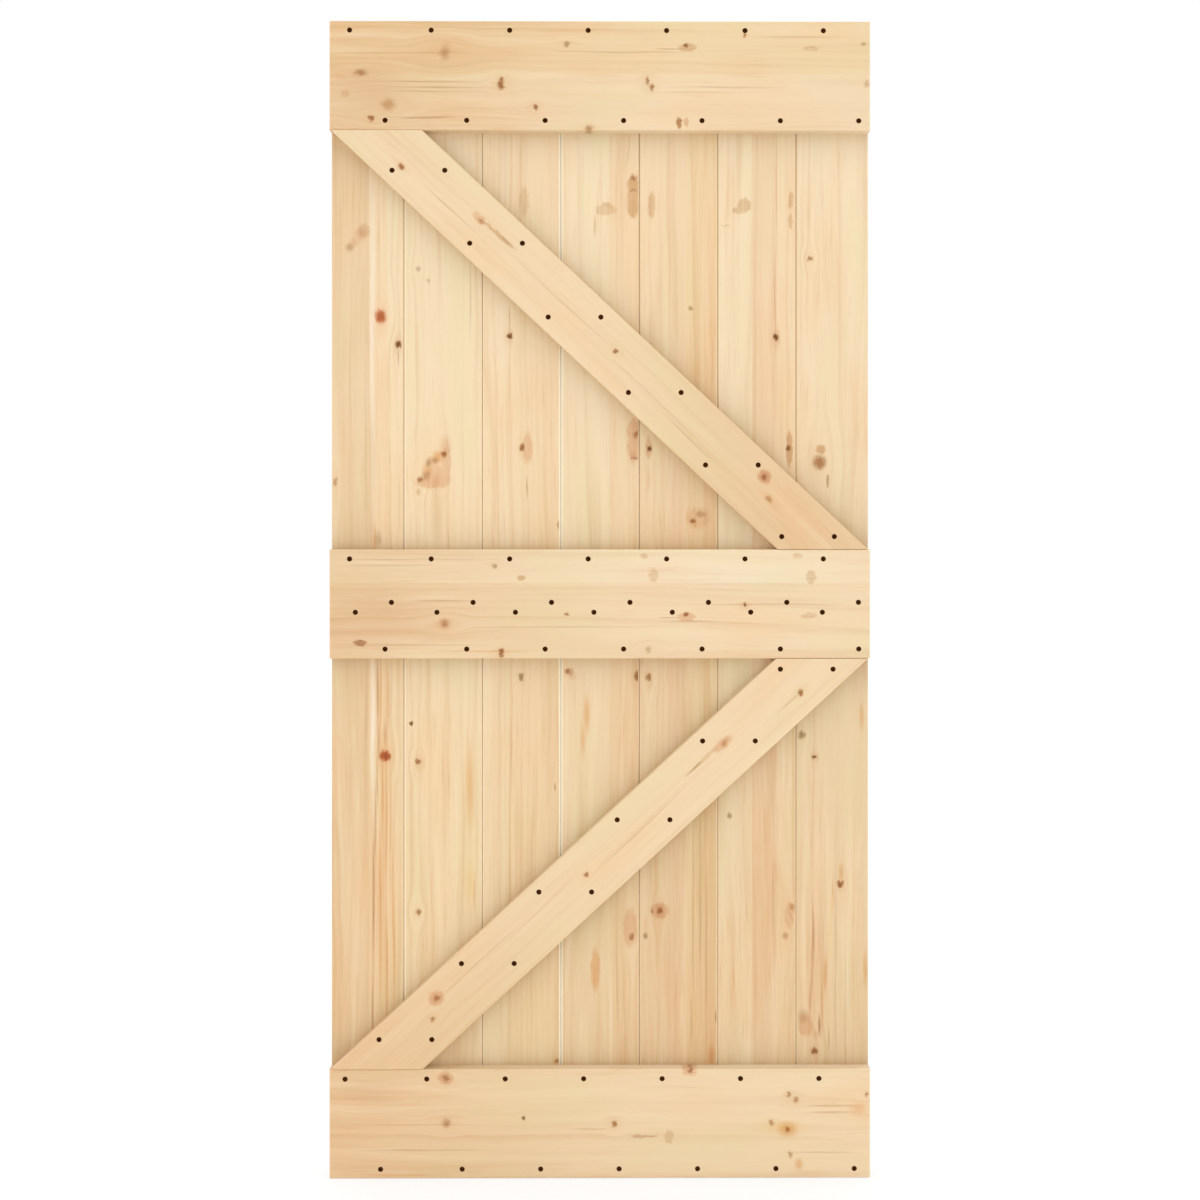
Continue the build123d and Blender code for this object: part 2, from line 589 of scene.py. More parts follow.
    def pushes(self, graph: Graph, board: Socket) -> Number:
        """Add up how far the knots push the grain aside.

        Each of the larger knots moves the grain by the offset from its centre, fading to nothing at four
        times its size, and twice as far along the grain.

        Args:
            graph: The material's graph.
            board: Across, along and depth in millimetres.

        Returns:
            Millimetres across the grain.
        """
        total: Number = 0.0
        for mark in self.marks:
            if isinstance(mark, Knot) and mark.across >= self.big_knot:
                offset = self.oval(graph, board, mark, self.push_size)
                far = graph.measure("LENGTH", offset)
                push = graph.smooth(far, *self.push_fade, mark.across * self.push_share)
                total = graph.part(offset, 0) * push + total
        return total

    def chosen(self, kind: type[Mark], tone: Tone) -> list[Mark]:
        """Give the board's marks of one kind and tone."""
        return [mark for mark in self.marks if type(mark) is kind and mark.tone is tone]

    def cover(
        self, graph: Graph, point: Socket, marks: list[Mark], edge: Span, size: Span = (1.0, 1.0)
    ) -> Value:
        """Join marks: at each point the largest of their shares, which ease up to each mark's strength.

        Args:
            graph: The material's graph.
            point: Across, along and depth in millimetres.
            marks: The marks.
            edge: Where a share starts and where it is full, in parts of the mark's half sizes.
            size: Factors on the half sizes across and along.

        Returns:
            The joined share.
        """
        joined, *others = (
            graph.smooth(graph.measure("LENGTH", self.oval(graph, point, mark, size)), *edge, mark.strength)
            for mark in marks
        )
        for share in others:
            joined = graph.math("MAXIMUM", joined, share)
        return joined

    def paint(self, graph: Graph, colour: Socket, drawn: Socket, ragged: Socket, uneven: Value) -> Socket:
        """Colour the marks over the wood: stains, patches, lines and, on top, knots.

        Args:
            graph: The material's graph.
            colour: The clear wood's colour.
            drawn: A point bent as the fibres are, for stains and lines.
            ragged: A frayed point, for patches and knots.
            uneven: The fibres' own share of a mark, around one.

        Returns:
            The colour with the marks.
        """
        evened = uneven * (1 - self.patch_even) + self.patch_even
        flat_kinds = ((Stain, drawn, 1.0), (Patch, ragged, evened), (Line, drawn, uneven))
        for tone in Tone:
            for kind, point, strength in flat_kinds:
                marks = self.chosen(kind, tone)
                if marks:
                    share = self.cover(graph, point, marks, kind.edge) * strength
                    colour = graph.mix(share, colour, tone.body, "MULTIPLY")
            knots = self.chosen(Knot, tone)
            flares = [mark for mark in knots if mark.across >= self.big_knot]
            if flares:
                share = self.cover(graph, drawn, flares, self.flare_edge, self.flare_size) * self.flare_share
                colour = graph.mix(share, colour, tone.halo, "MULTIPLY")
            if knots:
                share = self.cover(graph, ragged, knots, Knot.edge)
                colour = graph.mix(graph.smooth(share, *Ease.KNOT_BODY.value), colour, tone.body, "MULTIPLY")
                colour = graph.mix(graph.smooth(share, *Ease.KNOT_HEART.value), colour, tone.heart)
        return colour


class Bevel(Enum):
    """Painted light on a plank's edge at a joint, a highlight or on the dim edge a slight shade, and how far
    it reaches from the joint in millimetres.
    """

    WHITE = (srgb(253, 240, 211), 3.4)
    BRIGHT_HIGHLIGHT = (srgb(252, 232, 198), 3.6)
    SOFT_HIGHLIGHT = (srgb(247, 224, 187), 2.6)
    DIM_EDGE = (srgb(240, 212, 172), 2.3)


@dataclass(frozen=True)
class PlankFinish(PineFinish):
    """Pine of a plank, with painted highlights and shade on its joints' bevels and painted shade on its face
    beside the rails and braces. Sizes are in millimetres.
    """

    # Tint of the painted shade on the plank's sides.
    side_shade: Colour = (0.86, 0.86, 0.84, 1.0)
    joints: tuple[tuple[float, Bevel], ...] = ()
    bevel_fade: float = 0.5
    braces: tuple[tuple[Run, float], ...] = ((Run.FALLING, 87.2), (Run.RISING, 1484.6))
    brace_half: float = 57.5
    turn_fade: float = 1.0
    reach: float = 30.0
    # Tint of the painted shade beside the rails and braces.
    shade_tint: Colour = (0.81, 0.80, 0.78, 1.0)

    def paint_light_and_shade(self, graph: Graph, leaf: Socket, across: Value, depth: Value, colour: Socket) -> Socket:
        """Paint highlights and shade on the bevels, and paint shade on the face beside the rails and braces.

        The painted shade fades with the distance from a rail, which is half the bay's height less the
        distance from its middle, and from a brace, which is the distance from its middle line less half its
        width. Below the middle of the middle rail it is the lower brace that counts.

        Args:
            graph: The material's graph.
            leaf: The point on the leaf.
            across: Millimetres from the leaf's left edge.
            depth: Millimetres behind the rails' face.
            colour: The colour before the painted light and shade.

        Returns:
            The colour with its painted light and shade.
        """
        down = graph.part(leaf, 2)
        upper, lower = (
            (head - foot) / 2 - abs(down - (LEAF_TOP - (head + foot) / 2))
            for head, foot in (UPPER_BAY, LOWER_BAY)
        )
        from_rail = graph.math("MAXIMUM", upper, lower)
        first, second = (
            abs(graph.measure("DOT_PRODUCT", leaf, run.value[0]) - middle) - self.brace_half
            for run, middle in self.braces
        )
        turn = LEAF_TOP - RAIL_LEVELS["middle_rail"]
        past = graph.smooth(down, turn - self.turn_fade, turn + self.turn_fade)
        from_brace = first + (second - first) * past
        rail_shade, brace_shade = (
            graph.math("EXPONENT", graph.math("MAXIMUM", gap, 0.0) * (-1 / self.reach))
            for gap in (from_rail, from_brace)
        )
        # Painted highlights and shade on the joints' bevels, painted also on the walls of the joint gap.
        joint_depth = graph.smooth(depth, *Ease.JOINT_DEPTH.value)
        for joint, bevel in self.joints:
            edge, reach = bevel.value
            near = graph.smooth(abs(across - joint), reach + self.bevel_fade, reach - self.bevel_fade)
            colour = graph.mix(near * joint_depth, colour, edge)
        face = graph.smooth(depth, *Ease.FACE_DEPTH.value)
        # Painted shade on the face beside the rails and braces, fading with the distance from each.
        return graph.mix((rail_shade + brace_shade) * face, colour, self.shade_tint, "MULTIPLY")


MARKS: dict[str, tuple[Mark, ...]] = {
    "plank_1": (
        Stain(104, 1631, 33.6, 485.1, ORANGE, 0.3), Stain(64, 735, 1.9, 242.5, BROWN, 0.2),
        Stain(35, 661, 2.8, 186.6, TAN, 0.25), Stain(87, 418, 1.9, 205.2, ORANGE, 0.3),
        Stain(96, 325, 1.9, 130.6, ORANGE, 0.3), Patch(61, 382, 11, 12, TAN, 0.45),
        Stain(54, 390, 17, 18, PINK, 0.9), Stain(43, 404, 12, 13, PINK, 0.7),
        Stain(34, 414, 10, 11, BROWN, 0.6), Stain(76, 560, 7, 440, PALE, 0.45),
        Knot(91, 543, 11.2, 14, RED, 0.78), Knot(124, 595, 6.1, 7.3, DARK, 0.8),
        Stain(124, 620, 1.9, 22.4, BROWN, 0.5), Knot(7, 851, 5.4, 9.7, BROWN, 0.4),
        Stain(81, 959, 3.7, 41, ORANGE, 0.6), Stain(87, 958, 8, 20, BROWN, 0.45),
        Stain(77, 1300, 6.5, 200, PALE, 0.6), Stain(65, 1280, 4, 150, GREY, 0.3),
        Line(86, 1245, 2.6, 90, BROWN, 0.5), Line(88, 1335, 2.2, 45, BROWN, 0.5),
        Line(85, 1410, 2.4, 60, BROWN, 0.4), Line(81, 1490, 2.6, 90, BROWN, 0.5),
        Line(77, 1640, 2.6, 190, BROWN, 0.6), Line(76, 1840, 2, 120, BROWN, 0.6),
        Line(91, 1250, 2.4, 110, ORANGE, 0.7), Line(104, 1260, 3, 110, ORANGE, 0.55),
        Line(95, 1440, 2.6, 90, ORANGE, 0.7), Line(102, 1480, 3, 130, ORANGE, 0.5),
        Line(110, 1500, 2.4, 150, ORANGE, 0.55), Line(90, 1640, 2.8, 200, ORANGE, 0.65),
        Line(115, 1690, 2.6, 200, ORANGE, 0.6), Line(102, 1760, 2.4, 160, ORANGE, 0.6),
        Knot(100, 1362, 10.3, 10.3, RED, 1), Stain(100, 1323, 3.7, 28, RED, 0.4),
    ),
    "plank_2": (
        Line(258, 511, 2.2, 84, BROWN, 0.3), Knot(161, 454, 5.4, 6.4, GREY, 0.45),
        Knot(180, 476, 4.3, 5.4, GREY, 0.4), Stain(212, 785, 14, 26, PINK, 0.7),
        Patch(213, 818, 8.5, 32, PINK, 0.7), Patch(206, 846, 15, 17, PINK, 0.75),
        Patch(186, 853, 29, 10, PINK, 0.75), Patch(195, 834, 16, 16, PINK, 0.75),
        Stain(190, 850, 30, 18, ORANGE, 0.3), Stain(197, 805, 14, 17, ORANGE, 0.9),
        Stain(195, 915, 16, 80, TAN, 0.4), Knot(209, 800, 5.5, 5.3, BROWN, 0.7),
        Stain(193, 812, 9, 8, BROWN, 0.6), Stain(180, 817, 6, 11, GREY, 0.9),
        Stain(184, 812, 10, 12, TAN, 0.8), Stain(178, 830, 12, 16, ORANGE, 0.7),
        Stain(176, 840, 11, 11, BROWN, 0.65), Knot(165, 847, 6.3, 5.8, BROWN, 0.6),
        Stain(162, 870, 6, 10, TAN, 0.7), Knot(148, 1301, 4.3, 4.3, DARK, 0.9),
        Knot(161, 1373, 6.4, 5.4, BROWN, 0.7), Knot(161, 1653, 6.5, 6, BROWN, 0.6),
        Stain(257, 1420, 13, 110, ORANGE, 0.6), Stain(258, 1600, 13, 60, STRAW, 0.9),
        Stain(260, 1444, 5.6, 93.3, ORANGE, 0.3), Stain(266, 1618, 4.7, 46.6, ORANGE, 0.4),
    ),
    "plank_3": (
        Stain(309, 1258, 20.5, 653, PINK, 0.2), Knot(331, 579, 6.1, 6.1, DARK, 0.8),
        Stain(331, 545, 1.9, 31.7, BROWN, 0.5), Stain(331, 661, 1.9, 74.6, TAN, 0.4),
        Patch(358, 329, 9, 27, TAN, 0.45), Patch(365, 787, 9.5, 29, PINK, 0.85),
        Knot(354, 788, 5, 8, BROWN, 0.8), Stain(363, 862, 1.9, 28, BROWN, 0.6),
        Knot(422, 931, 4.3, 9.7, BROWN, 0.4), Knot(353, 1215, 5.4, 7.5, GREY, 0.95),
        Stain(415, 1420, 2.3, 11.2, BROWN, 0.8), Knot(419, 1931, 5.4, 6.4, BROWN, 0.55),
        Line(335, 1370, 2.1, 84, BROWN, 0.21),
    ),
    "plank_4": (
        Patch(511, 344, 20, 10, TAN, 0.52), Patch(513, 336, 12, 5, TAN, 0.65),
        Stain(490, 373, 2.8, 28, BROWN, 0.45), Patch(562, 297, 11.5, 18, TAN, 0.95),
        Patch(562, 318, 11.5, 20, TAN, 0.85), Patch(562, 338, 11.5, 20, TAN, 0.95),
        Patch(562, 308, 9, 3, BROWN, 0.4), Knot(562, 286, 6.4, 5.4, BROWN, 0.4),
        Patch(562, 756, 11.5, 23, PINK, 1), Patch(562, 788, 11.5, 22, PINK, 1),
        Knot(568, 763, 6.5, 9, BROWN, 0.5), Patch(565, 807, 9, 3.4, BROWN, 0.6),
        Stain(562, 806, 10, 20, RED, 0.3), Patch(442, 1205, 9, 6.5, TAN, 0.65),
        Knot(439, 1205, 6, 5, BROWN, 0.5), Stain(449, 1213, 11.2, 11.2, PINK, 0.5),
        Stain(475, 1285, 9, 50, ORANGE, 0.65), Stain(468, 1330, 8, 45, ORANGE, 0.55),
        Knot(570, 1213, 6.4, 10.7, BROWN, 0.85), Patch(556, 1683, 13.5, 35, PINK, 0.95),
        Knot(559, 1700, 5.4, 7, BROWN, 0.52), Patch(491, 1760, 8.5, 40, ORANGE, 0.65),
        Line(532, 1780, 2.1, 111.9, BROWN, 0.21),
    ),
    "plank_5": (
        Patch(596, 336, 7, 25, TAN, 0.6), Knot(669, 528, 4.3, 4.3, GREY, 0.6),
        Patch(590, 786, 5.6, 22.4, PINK, 0.78), Knot(592, 789, 4.8, 6.1, DARK, 0.7),
        Stain(590, 847, 5.6, 37.3, PINK, 0.5), Patch(682, 918, 22, 20, PINK, 0.62),
        Knot(673, 925, 5.4, 5.4, BROWN, 0.7), Patch(688, 912, 8.5, 6, BROWN, 0.45),
        Knot(590, 1215, 6.4, 8, BROWN, 0.6), Patch(611, 1651, 17, 15, PINK, 0.95),
        Knot(611, 1651, 6.5, 7.5, BROWN, 0.62), Knot(596, 1651, 3.2, 4.3, BROWN, 0.5),
        Knot(585, 1698, 4.3, 6.4, GREY, 0.75), Stain(585, 1677, 5.6, 22.4, PINK, 0.4),
        Stain(717, 1849, 2.8, 16.8, BROWN, 0.8), Stain(708, 1920, 9, 26, ORANGE, 0.7),
        Line(674, 1631, 2.2, 233.2, BROWN, 0.34), Line(687, 1668, 2.2, 242.5, BROWN, 0.34),
        Line(698, 1743, 2.2, 205.2, BROWN, 0.26), Line(670, 1855, 2.2, 56, BROWN, 0.34),
    ),
    "plank_6": (
        Patch(769, 335, 13, 13, TAN, 0.75), Patch(758, 345, 12, 6, TAN, 0.65),
        Patch(855, 325, 4.7, 16.8, TAN, 0.65), Patch(855, 364, 4.7, 14.9, TAN, 0.59),
        Knot(828, 581, 5.2, 6.2, DARK, 0.8), Stain(827, 511, 1.9, 111.9, RED, 0.4),
        Patch(853, 789, 5.6, 33.6, TAN, 0.98), Knot(851, 788, 4.3, 6.4, BROWN, 0.8),
        Stain(829, 288, 1.7, 139.9, RED, 0.35), Patch(734, 373, 10.3, 1.5, TAN, 0.52),
        Knot(741, 1474, 4.3, 6.4, GREY, 0.8), Knot(859, 1644, 6.5, 7.5, TAN, 0.58),
        Patch(853, 1659, 8.5, 26, PINK, 0.6), Knot(846, 1698, 6.4, 7.5, TAN, 0.55),
        Line(822, 1631, 2.1, 84, BROWN, 0.34), Line(825, 1743, 2.1, 111.9, BROWN, 0.21),
    ),
    "plank_7": (
        Knot(892, 435, 6.4, 5.4, BROWN, 0.55), Patch(911, 790, 9.5, 8, TAN, 0.85),
        Knot(909, 815, 14, 15, BROWN, 0.62), Patch(925, 850, 3.2, 12, GREY, 0.9),
        Knot(876, 1323, 6.5, 7.5, GREY, 0.9), Knot(900, 1364, 4.8, 3.6, DARK, 0.7),
        Stain(988, 1289, 6, 36, ORANGE, 0.6), Knot(948, 1601, 5.7, 6, BROWN, 0.95),
        Stain(950, 1578, 7, 24, ORANGE, 0.6), Line(897, 1690, 3, 75, RED, 0.5),
        Line(894, 1765, 2.8, 70, RED, 0.5), Line(891, 1815, 2.8, 40, RED, 0.45),
        Stain(905, 1690, 12, 160, PINK, 0.35), Stain(877, 1848, 14, 18, BROWN, 0.45),
        Patch(883, 1866, 15, 20, PINK, 0.84), Line(909, 1864, 3.4, 24, BROWN, 0.7),
        Stain(903, 1882, 10, 12, PINK, 0.7), Knot(900, 1913, 6.6, 6.8, BROWN, 0.95),
        Stain(995, 1761, 5.6, 46, ORANGE, 0.6), Line(933, 1630, 3.5, 40, ORANGE, 0.4),
        Line(928, 1690, 5, 70, STRAW, 0.9), Line(919, 1768, 4.5, 40, ORANGE, 0.6),
        Line(914, 1835, 2.4, 60, ORANGE, 0.5), Line(927, 1890, 2.4, 26, BROWN, 0.35),
        Line(939, 1780, 2.2, 242.5, BROWN, 0.26), Line(973, 1705, 2.2, 279.9, ORANGE, 0.26),
        Line(958, 1817, 2.2, 186.6, BROWN, 0.21),
    ),
    "top_rail": (
        Stain(76, 127, 55.5, 83.2, RED, 0.14), Knot(213, 61, 14, 12, BROWN, 0.32),
        Stain(216, 49, 16.6, 11.1, PINK, 0.4), Knot(58, 97, 8, 14.5, BROWN, 0.46),
        Knot(109, 155, 13, 15, TAN, 0.52), Knot(78, 181, 6.3, 5.8, BROWN, 0.7),
        Knot(317, 119, 8.3, 7.4, BROWN, 0.85), Knot(318, 109, 5.3, 5.3, BROWN, 0.7),
        Knot(382, 160, 6.5, 4.6, BROWN, 0.75), Knot(439, 44, 5.9, 5.3, GREY, 0.7),
        Knot(479, 199, 6.3, 8, BROWN, 0.42), Stain(481, 196, 11.1, 12.9, PINK, 0.5),
        Patch(30, 135, 7.4, 8.3, PINK, 0.56), Patch(662, 49, 8, 16.5, TAN, 0.75),
        Knot(659, 46, 4.3, 4.3, BROWN, 0.7), Stain(627, 51, 1.8, 31.4, BROWN, 0.5),
        Knot(588, 111, 9.2, 4.6, BROWN, 0.55), Knot(597, 123, 7.4, 4.6, BROWN, 0.6),
        Patch(646, 189, 10, 5.5, BROWN, 1), Patch(660, 187, 8.5, 4.5, TAN, 0.65),
        Patch(889, 51, 4.6, 14.8, TAN, 0.52), Knot(987, 42, 4.3, 5.3, GREY, 0.6),
        Patch(994, 116, 8.3, 4.6, BROWN, 0.4), Knot(768, 26, 5.3, 3.2, BROWN, 0.6),
        Line(191, 113, 2.2, 110.9, BROWN, 0.34), Line(205, 123, 2.2, 110.9, BROWN, 0.38),
        Line(191, 131, 2.2, 101.7, BROWN, 0.3), Line(174, 178, 2.7, 64.7, BROWN, 0.51),
        Line(871, 29, 2.5, 103.5, RED, 0.3), Line(734, 123, 2.2, 120.1, BROWN, 0.34),
        Stain(538, 138, 5.5, 221.8, STRAW, 0.3), Line(538, 57, 2.2, 147.9, BROWN, 0.26),
        Line(131, 59, 2.2, 147.9, BROWN, 0.21), Line(686, 133, 2.2, 110.9, BROWN, 0.21),
    ),
    "middle_rail": (
        Stain(94, 1080, 37, 120.1, RED, 0.14), Stain(80, 1135, 42, 170, RED, 0.16),
        Line(168, 996, 2.2, 175.6, BROWN, 0.26), Line(113, 1007, 2.2, 110.9, BROWN, 0.26),
        Knot(305, 1007, 5.3, 4.3, GREY, 0.6), Patch(355, 1030, 5.1, 7.4, TAN, 0.91),
        Knot(213, 1114, 9.2, 8, BROWN, 0.36), Stain(213, 1114, 14, 18, PINK, 0.7),
        Patch(57, 1150, 6, 12, BROWN, 0.85), Knot(318, 1168, 8.3, 5.5, BROWN, 0.85),
        Knot(439, 1097, 4.3, 5.3, BROWN, 0.6), Stain(700, 1028, 34, 240, PALE, 0.16),
        Patch(582, 989, 5.5, 7.4, TAN, 0.59), Patch(599, 1025, 13, 8.5, TAN, 0.5),
        Patch(891, 1028, 12.5, 9, TAN, 0.6), Patch(865, 989, 4.6, 9.2, TAN, 0.52),
        Knot(768, 1079, 4.8, 3.6, DARK, 0.6), Patch(659, 1102, 7.5, 17.5, PINK, 1),
        Knot(659, 1097, 4.3, 4.3, BROWN, 0.7), Stain(625, 1104, 1.8, 27.7, BROWN, 0.5),
        Patch(886, 1100, 4.6, 16.6, TAN, 0.52), Knot(589, 1163, 8, 7, BROWN, 0.32),
        Line(815, 1078, 2.2, 157.1, RED, 0.3), Line(205, 1072, 2.2, 55.5, BROWN, 0.34),
        Line(279, 1165, 2.7, 110.9, ORANGE, 0.42), Line(168, 1154, 2.2, 138.6, BROWN, 0.26),
        Line(427, 1120, 2.2, 203.3, BROWN, 0.21), Line(667, 1111, 2.2, 55.5, BROWN, 0.34),
    ),
    "bottom_rail": (
        Stain(76, 1977, 37, 83.2, RED, 0.12), Patch(216, 1954, 13, 14, PINK, 1),
        Knot(216, 1954, 8, 8, BROWN, 0.46), Knot(216, 2037, 8.5, 7.4, BROWN, 0.36),
        Stain(216, 2037, 13, 14, PINK, 0.6), Knot(359, 2028, 3.6, 4.8, DARK, 0.6),
        Patch(666, 1941, 10.2, 13.9, PINK, 1), Knot(667, 1941, 4.3, 5.3, BROWN, 0.6),
        Knot(526, 2039, 7.4, 4.6, BROWN, 0.65), Patch(580, 2062, 3, 24, BROWN, 0.5),
        Patch(627, 2063, 13, 9, TAN, 0.55), Knot(849, 1985, 6.3, 4.3, BROWN, 0.5),
        Knot(862, 1995, 6.5, 5.5, BROWN, 0.45), Knot(817, 2037, 6.3, 5.3, BROWN, 0.5),
        Stain(847, 2051, 20, 24, ORANGE, 0.8), Stain(838, 2046, 16, 60, STRAW, 0.8),
        Knot(847, 2050, 5.3, 5.3, BROWN, 0.6), Knot(852, 2096, 7.4, 3.7, BROWN, 0.45),
        Stain(868, 2114, 14, 11, ORANGE, 0.7), Stain(978, 2012, 16, 24, ORANGE, 0.5),
        Knot(993, 1985, 5.3, 4.3, BROWN, 0.5), Line(131, 2132, 2, 110.9, ORANGE, 0.5),
        Line(930, 2007, 2.5, 55.5, BROWN, 0.38), Line(930, 2018, 2.5, 55.5, BROWN, 0.38),
        Line(483, 2049, 2.2, 37, BROWN, 0.34), Line(168, 2088, 2.2, 157.1, BROWN, 0.26),
        Line(187, 2041, 2.2, 120.1, BROWN, 0.17), Line(908, 2093, 2.2, 83.2, BROWN, 0.3),
    ),
    "upper_brace": (
        Knot(133, 270, 5.8, 6.9, BROWN, 0.6), Stain(133, 270, 8, 9, RED, 0.4),
        Patch(277, 366, 7.5, 15, PINK, 0.85), Knot(281, 371, 5.3, 9.5, BROWN, 0.36),
        Patch(311, 395, 3.7, 33.3, TAN, 0.78), Line(331, 410, 2.7, 22.2, BROWN, 0.51),
        Knot(529, 612, 5.3, 5.3, BROWN, 0.7), Patch(804, 843, 13, 13, PINK, 1),
        Stain(804, 843, 15, 15, RED, 0.35), Knot(804, 843, 6, 6, BROWN, 0.5),
        Knot(813, 884, 5.3, 8.5, TAN, 0.8), Line(427, 516, 2.2, 120.1, BROWN, 0.26),
        Line(603, 700, 2.2, 147.9, BROWN, 0.17), Line(667, 774, 2.2, 92.4, BROWN, 0.21),
        Line(224, 349, 2.2, 83.2, BROWN, 0.26),
    ),
    "lower_brace": (
        Knot(871, 1242, 6.3, 6.3, BROWN, 0.75), Line(852, 1259, 2.5, 37, BROWN, 0.25),
        Patch(727, 1337, 9, 21, PINK, 0.9), Knot(730, 1335, 5.3, 8.5, TAN, 0.6),
        Patch(695, 1363, 3.5, 31, TAN, 0.5), Line(673, 1383, 2.7, 24, BROWN, 0.51),
        Knot(475, 1579, 5.3, 5.3, BROWN, 0.7), Patch(198, 1806, 14, 14, PINK, 1),
        Knot(198, 1806, 6.5, 6.5, BROWN, 0.48), Knot(191, 1845, 5.3, 5.3, BROWN, 0.5),
        Line(575, 1496, 2.2, 120.1, BROWN, 0.26), Line(399, 1634, 2.2, 101.7, BROWN, 0.17),
        Line(279, 1736, 2.2, 129.4, BROWN, 0.21),
    ),
}


def add_piece(
    name: str, points: np.ndarray, faces: list[list[int]], finish: bpy.types.Material
) -> bpy.types.Object:
    """Put a mesh with one finish into the scene, its object at the origin.

    Args:
        name: The piece's name.
        points: Its points in metres.
        faces: Its faces as lists of the points' indices.
        finish: Its material.

    Returns:
        The piece.
    """
    mesh = bpy.data.meshes.new(name)
    mesh.from_pydata(points.tolist(), [], faces)
    mesh.materials.append(finish)
    piece = bpy.data.objects.new(name, mesh)
    bpy.context.scene.collection.objects.link(piece)
    return piece


def dress(node: str, finish: PineFinish) -> None:
    """Put a finish on one solid.

    Args:
        node: The solid's name.
        finish: Its finish.
    """
    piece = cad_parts[node]
    made = finish.material()
    for slot in piece.material_slots:
        slot.material = made
    log.info("%s: %d marks, %d nodes", node, len(finish.marks), len(made.node_tree.nodes))


@dataclass(frozen=True)
class BronzedSteel:
    """Dark brown coated steel of the screws, rubbed a little lighter where a driver has turned."""

    name: str = "bronzed_steel"
    dark: Colour = srgb(62, 28, 6)
    rubbed: Colour = srgb(128, 88, 42)
    cells_per_metre: Triple = (900.0, 900.0, 900.0)
    detail: float = 3.0
    wear: Span = (0.48, 0.75)
    metallic: float = 0.75
    roughness: float = 0.6
    polish: float = 0.2
    specular: float = 0.05

    def material(self) -> bpy.types.Material:
        """Make the material.

        Returns:
            A material that reads Object coordinates.
        """
        made = bpy.data.materials.new(self.name)
        graph = Graph(made)
        point = graph.node("ShaderNodeTexCoord", {}, {}).outputs["Object"]
        worn = graph.smooth(graph.noise(point, self.cells_per_metre, self.detail), *self.wear)
        graph.surface({
            "Base Color": graph.mix(worn, self.dark, self.rubbed),
            "Metallic": self.metallic,
            "Roughness": self.roughness - worn * self.polish,
            "Specular IOR Level": self.specular,
        })
        return made


@dataclass
class CountersunkScrew:
    """A wood screw's head, flush in its seat, with a cross recess. Sizes are in millimetres."""

    head_radius: float = 4.8
    shank_radius: float = 2.4
    head_depth: float = 2.45
    set_down: float = 0.12
    edge_drop: float = 0.12
    rim_drop: float = 0.35
    top_rings: tuple[float, ...] = (0.6, 1.2, 1.7, 2.1, 2.6, 3.3, 3.85, 4.0)  # scaled up to the head's radius
    recess_depth: float = 1.3
    recess_reach: float = 2.9
    recess_half_width: float = 0.75
    recess_flare: float = 1.5
    recess_end: float = 0.5
    recess_rise: float = 0.25
    sides: int = 24
    turn_step: float = 2.4
    turn_per_mm: float = 0.13
    finish: BronzedSteel = field(default_factory=BronzedSteel)

    def shape(self) -> tuple[np.ndarray, list[list[int]]]:
        """Work out one head around the origin, its axis along y and its top towards -y.

        The profile runs from the centre of the top over the rim and down the cone to the shank, and is
        carried round the axis. The cross recess sinks each top point by the depth that is left at its
        distance from the nearer arm's middle line and from the arms' reach.

        Returns:
            The points, and the faces as lists of their indices.
        """
        rims = np.array(self.top_rings) * self.head_radius / self.top_rings[-1]
        radius = np.concatenate((rims, (self.head_radius, self.shank_radius)))
        drops = (self.edge_drop, self.rim_drop, self.head_depth)
        depth = np.concatenate((np.zeros(len(rims) - 1), drops)) + self.set_down
        angle = np.arange(self.sides) * 2 * np.pi / self.sides
        x = radius[:, None] * np.cos(angle)
        z = radius[:, None] * np.sin(angle)
        from_arm = np.minimum(abs(x), abs(z))
        out = np.maximum(abs(x), abs(z))
        sunk = np.clip((self.recess_half_width * self.recess_flare - from_arm) / self.recess_half_width, 0, 1)
        sunk *= np.clip((self.recess_reach - out) / self.recess_end, 0, 1)
        sunk *= 1 - self.recess_rise * out / self.recess_reach
        y = depth[:, None] + self.recess_depth * sunk
        rings = np.stack((x, y, z), axis=-1).reshape(-1, 3)
        poles = np.array(((0, self.set_down + self.recess_depth, 0), (0, self.set_down + self.head_depth, 0)))
        points = np.concatenate((rings, poles))

        here = np.arange(self.sides)
        after = (here + 1) % self.sides
        start = np.arange(len(radius) - 1)[:, None] * self.sides
        below = start + self.sides
        quads = np.stack((start + here, below + here, below + after, start + after), -1)
        last = (len(radius) - 1) * self.sides
        top = np.stack((np.full(self.sides, len(rings)), here, after), -1)
        bottom = np.stack((np.full(self.sides, len(rings) + 1), last + after, last + here), -1)
        return points, [*quads.reshape(-1, 4).tolist(), *top.tolist(), *bottom.tolist()]

    def build(self, name: str, places: np.ndarray) -> None:
        """Join a head at every place into one piece that rides on the leaf, each turned by its own angle.

        Args:
            name: The piece's name.
            places: Centres on the face, x and z in millimetres.
        """
        points, faces = self.shape()
        turn = np.arange(len(places)) * self.turn_step + places[:, 0] * self.turn_per_mm
        cos, sin = np.cos(turn)[:, None], np.sin(turn)[:, None]
        x = points[:, 0] * cos - points[:, 2] * sin + places[:, :1]
        z = points[:, 0] * sin + points[:, 2] * cos + places[:, 1:]
        y = np.broadcast_to(points[:, 1], x.shape)
        joined = np.stack((x, y, z), -1).reshape(-1, 3) * MM
        all_faces = [[i + k * len(points) for i in face] for k in range(len(places)) for face in faces]
        piece = add_piece(name, joined, all_faces, self.finish_material())
        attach(piece, "root")
        log.info("%s: %d screws", name, len(places))

    def finish_material(self) -> bpy.types.Material:
        """Give the screws' one material, made at its first use."""
        return bpy.data.materials.get(self.finish.name) or self.finish.material()


